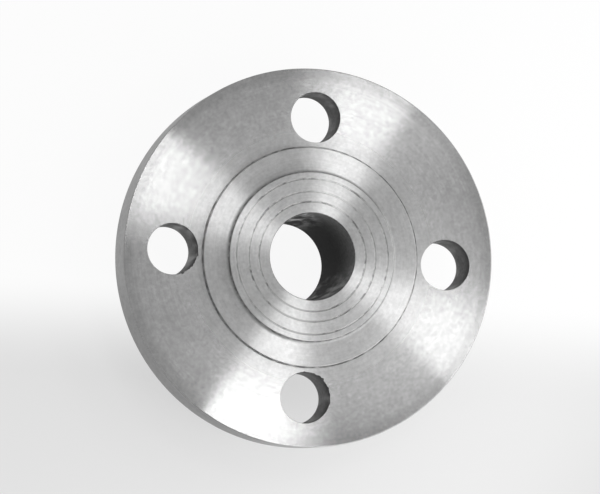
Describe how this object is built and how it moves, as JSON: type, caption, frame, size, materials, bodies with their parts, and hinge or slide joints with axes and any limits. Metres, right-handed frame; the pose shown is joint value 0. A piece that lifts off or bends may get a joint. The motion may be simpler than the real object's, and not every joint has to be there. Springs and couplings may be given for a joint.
{
  "type": "weld neck pipe flange",
  "caption": "Round steel welding neck flange with a stepped raised sealing face, a through bore, bolt holes and a tapered neck for butt welding to a pipe.",
  "frame": {"origin": "centre of the neck's weld end, where the flange stands", "axes": "+Z along the bore from the weld end to the raised sealing face; +X through one of the bolt holes"},
  "size_m": [0.135, 0.135, 0.047],
  "materials": {
    "turned_steel": "bare machined steel with fine concentric turning marks, grey, semi-bright"
  },
  "bodies": {
    "root": {"flange": "turned_steel"}
  },
  "joints": []
}
